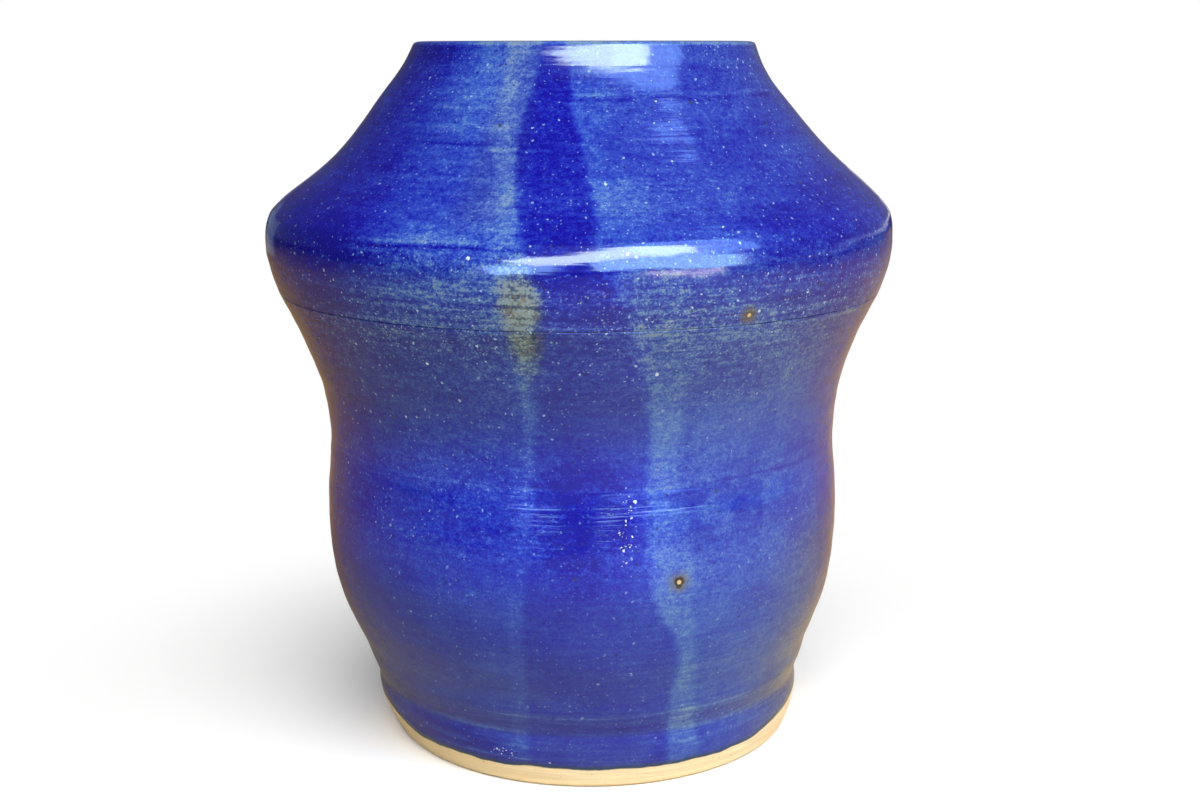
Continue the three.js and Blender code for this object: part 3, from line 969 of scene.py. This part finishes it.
def cap_depth(tree, where, lines):
    azimuth, height = where["Azimuth"], where["Height"]
    dips = use(tree, dips_group, Azimuth=azimuth, Height=height)
    plain = curve_through(
        tree, azimuth,
        [(-180, 0.55), (-140, 0.5), (-90, 0.8), (-52, 0.86), (-38, 0.66), (-22, 0.44), (0, 0.48),
         (12, 0.54), (25, 0.6), (45, 0.64), (70, 0.6), (120, 0.7), (150, 0.6), (180, 0.55)],
        (-180, 180), (0, 1))
    mottle = centred(tree, stretched_noise(tree, 15, 7, 3, 2), 0.20)
    drift = centred(tree, stretched_noise(tree, 4, 30, 2, 6), 0.10)
    near_seam = rise(tree, height, 96, 90)
    past_middle = outward(tree, where)
    plain = total_of(tree, even_depth, reckon(
        tree, "MULTIPLY", reckon(tree, "SUBTRACT", plain, even_depth), past_middle))
    line_weight = total_of(tree, reckon(tree, "MULTIPLY", near_seam, 0.26), 0.13)
    depth = total_of(
        tree, plain, mottle, drift,
        reckon(tree, "MULTIPLY", reckon(tree, "SUBTRACT", 0.5, lines["Lines"]), line_weight),
        reckon(tree, "MULTIPLY", reckon(tree, "SUBTRACT", 0.5, lines["Ridges"]), 0.12),
        product(tree, dips["Thick"], past_middle, 0.36),
        product(tree, dips["Thin"], past_middle, -0.20),
        reckon(tree, "MULTIPLY", near_seam, -0.10),
        reckon(tree, "MULTIPLY", rise(tree, height, 128.9, 129.6), -0.45))
    depth = scored(tree, where, pooled(tree, where, depth, cap_pools), cap_scores)
    return in_bounds(tree, depth)


def cap_clay(tree, where):
    rim = product(
        tree, rise(tree, where["Height"], 86.0, 85.75), rise(tree, where["Radius"], 55.55, 55.3))
    return rim, 0.0


def cap_grain(tree, where):
    crowded = rise(tree, where["Height"], 102, 92)
    patchy = rise(tree, stretched_noise(tree, 22, 12, 2, 23), 0.35, 0.65)
    grain = total_of(tree, 0.85, reckon(tree, "MULTIPLY", crowded, 0.75))
    rightward = to_either_side(tree, where["Azimuth"], -10, 15)
    specks = total_of(
        tree, 0.45, weighed(tree, (crowded, 0.7), (patchy, 0.4), (rightward, 0.2)))
    on_cone = product(
        tree, rise(tree, where["Height"], 99, 104), outward(tree, where))
    # Painted reflection: the grey dryness on the wall below 92 mm, where it turns down to the seat,
    # stands for the warm table that the wall mirrors there
    dry_glaze_and_painted_reflection = weighed(
        tree, (pool_mask(tree, where, -8.8, 89.5, 3.2, 5, 0.6), 0.85),
        (rise(tree, where["Height"], 92, 87), 0.14),
        (product(tree, on_cone, run_mask(tree, where["Azimuth"], -22, -11, 3)), 0.2),
        (product(tree, on_cone, to_either_side(tree, where["Azimuth"], -3, 12)), 0.1))
    in_stripe = run_mask(tree, where["Azimuth"], -6, 8, 3)
    vivid = product(tree, rise(tree, where["Height"], 99, 96), in_stripe, 0.8)
    return grain, specks, dry_glaze_and_painted_reflection, vivid


cap_iron = [
    (on_wall(56.75, 29.2, 87), 0.85, 0.4), (on_wall(57.6, 44, 91), 0.4, 0.8),
    (on_wall(43.5, 140, 112.3), 0.8, 1), (on_wall(57.9, -100, 92), 0.7, 1)]
cap.data.materials.append(glazed("cap_glaze", cap_depth, cap_clay, cap_grain, cap_iron))
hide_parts("lid_cap")
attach(cap, "lid")

# ---------------------------------------------------------------- bell
# The bell is a thrown cup that hangs mouth down under the cap's ceiling, joined to it with slip.
# It holds the butter in the water, and is glazed all over.
bell_outside = [
    (10, 123), (18, 123), (22, 122.95), (24.6, 122.5), (27, 121.4), (29.2, 119.4), (31, 116.6),
    (32.3, 113.6), (33.3, 109.6), (33.8, 105), (33.95, 100), (33.95, 92), (33.95, 84),
    (33.95, 76), (33.95, 68), (33.95, 60), (33.95, 52), (33.95, 44), (33.95, 36), (33.95, 29),
    (33.9, 25.2), (33.7, 23.6), (32.9, 22.4), (31.65, 21.95), (30.4, 22.4), (29.55, 23.6)]
bell_inside = [
    (29.35, 25.2), (29.35, 30), (29.35, 38), (29.35, 46), (29.35, 54), (29.35, 62), (29.35, 70),
    (29.35, 78), (29.35, 86), (29.35, 94), (29.35, 101), (29.2, 106), (28.7, 110), (27.8, 113),
    (26.2, 115.6), (23.6, 117.3), (20, 118), (12, 118), (4, 118)]

bell = throw("thrown_bell", bell_outside + bell_inside, plumb)
mark_zone(
    bell, "wall", lambda r, z, around: min((z - 27) / 6, (104 - z) / 8) if r > 28.5 else 0)
ripple(bell, "wall", around=60, climb=5, depth=0.35)


def bell_depth(tree, where, lines):
    mottle = centred(tree, stretched_noise(tree, 14, 10, 3, 2), 0.25)
    depth = total_of(
        tree, 0.62, mottle,
        reckon(tree, "MULTIPLY", reckon(tree, "SUBTRACT", 0.5, lines["Lines"]), 0.2),
        reckon(tree, "MULTIPLY", rise(tree, where["Height"], 25, 22.4), -0.5))
    return in_bounds(tree, depth)


def bell_grain(tree, where):
    return 0.6, reckon(tree, "MULTIPLY", stretched_noise(tree, 20, 20, 2, 25), 0.9), 0.0, 0.0


bell.data.materials.append(
    glazed("bell_glaze", bell_depth, lambda tree, where: (0.0, 0.0), bell_grain, []))
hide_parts("butter_bell")
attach(bell, "lid")
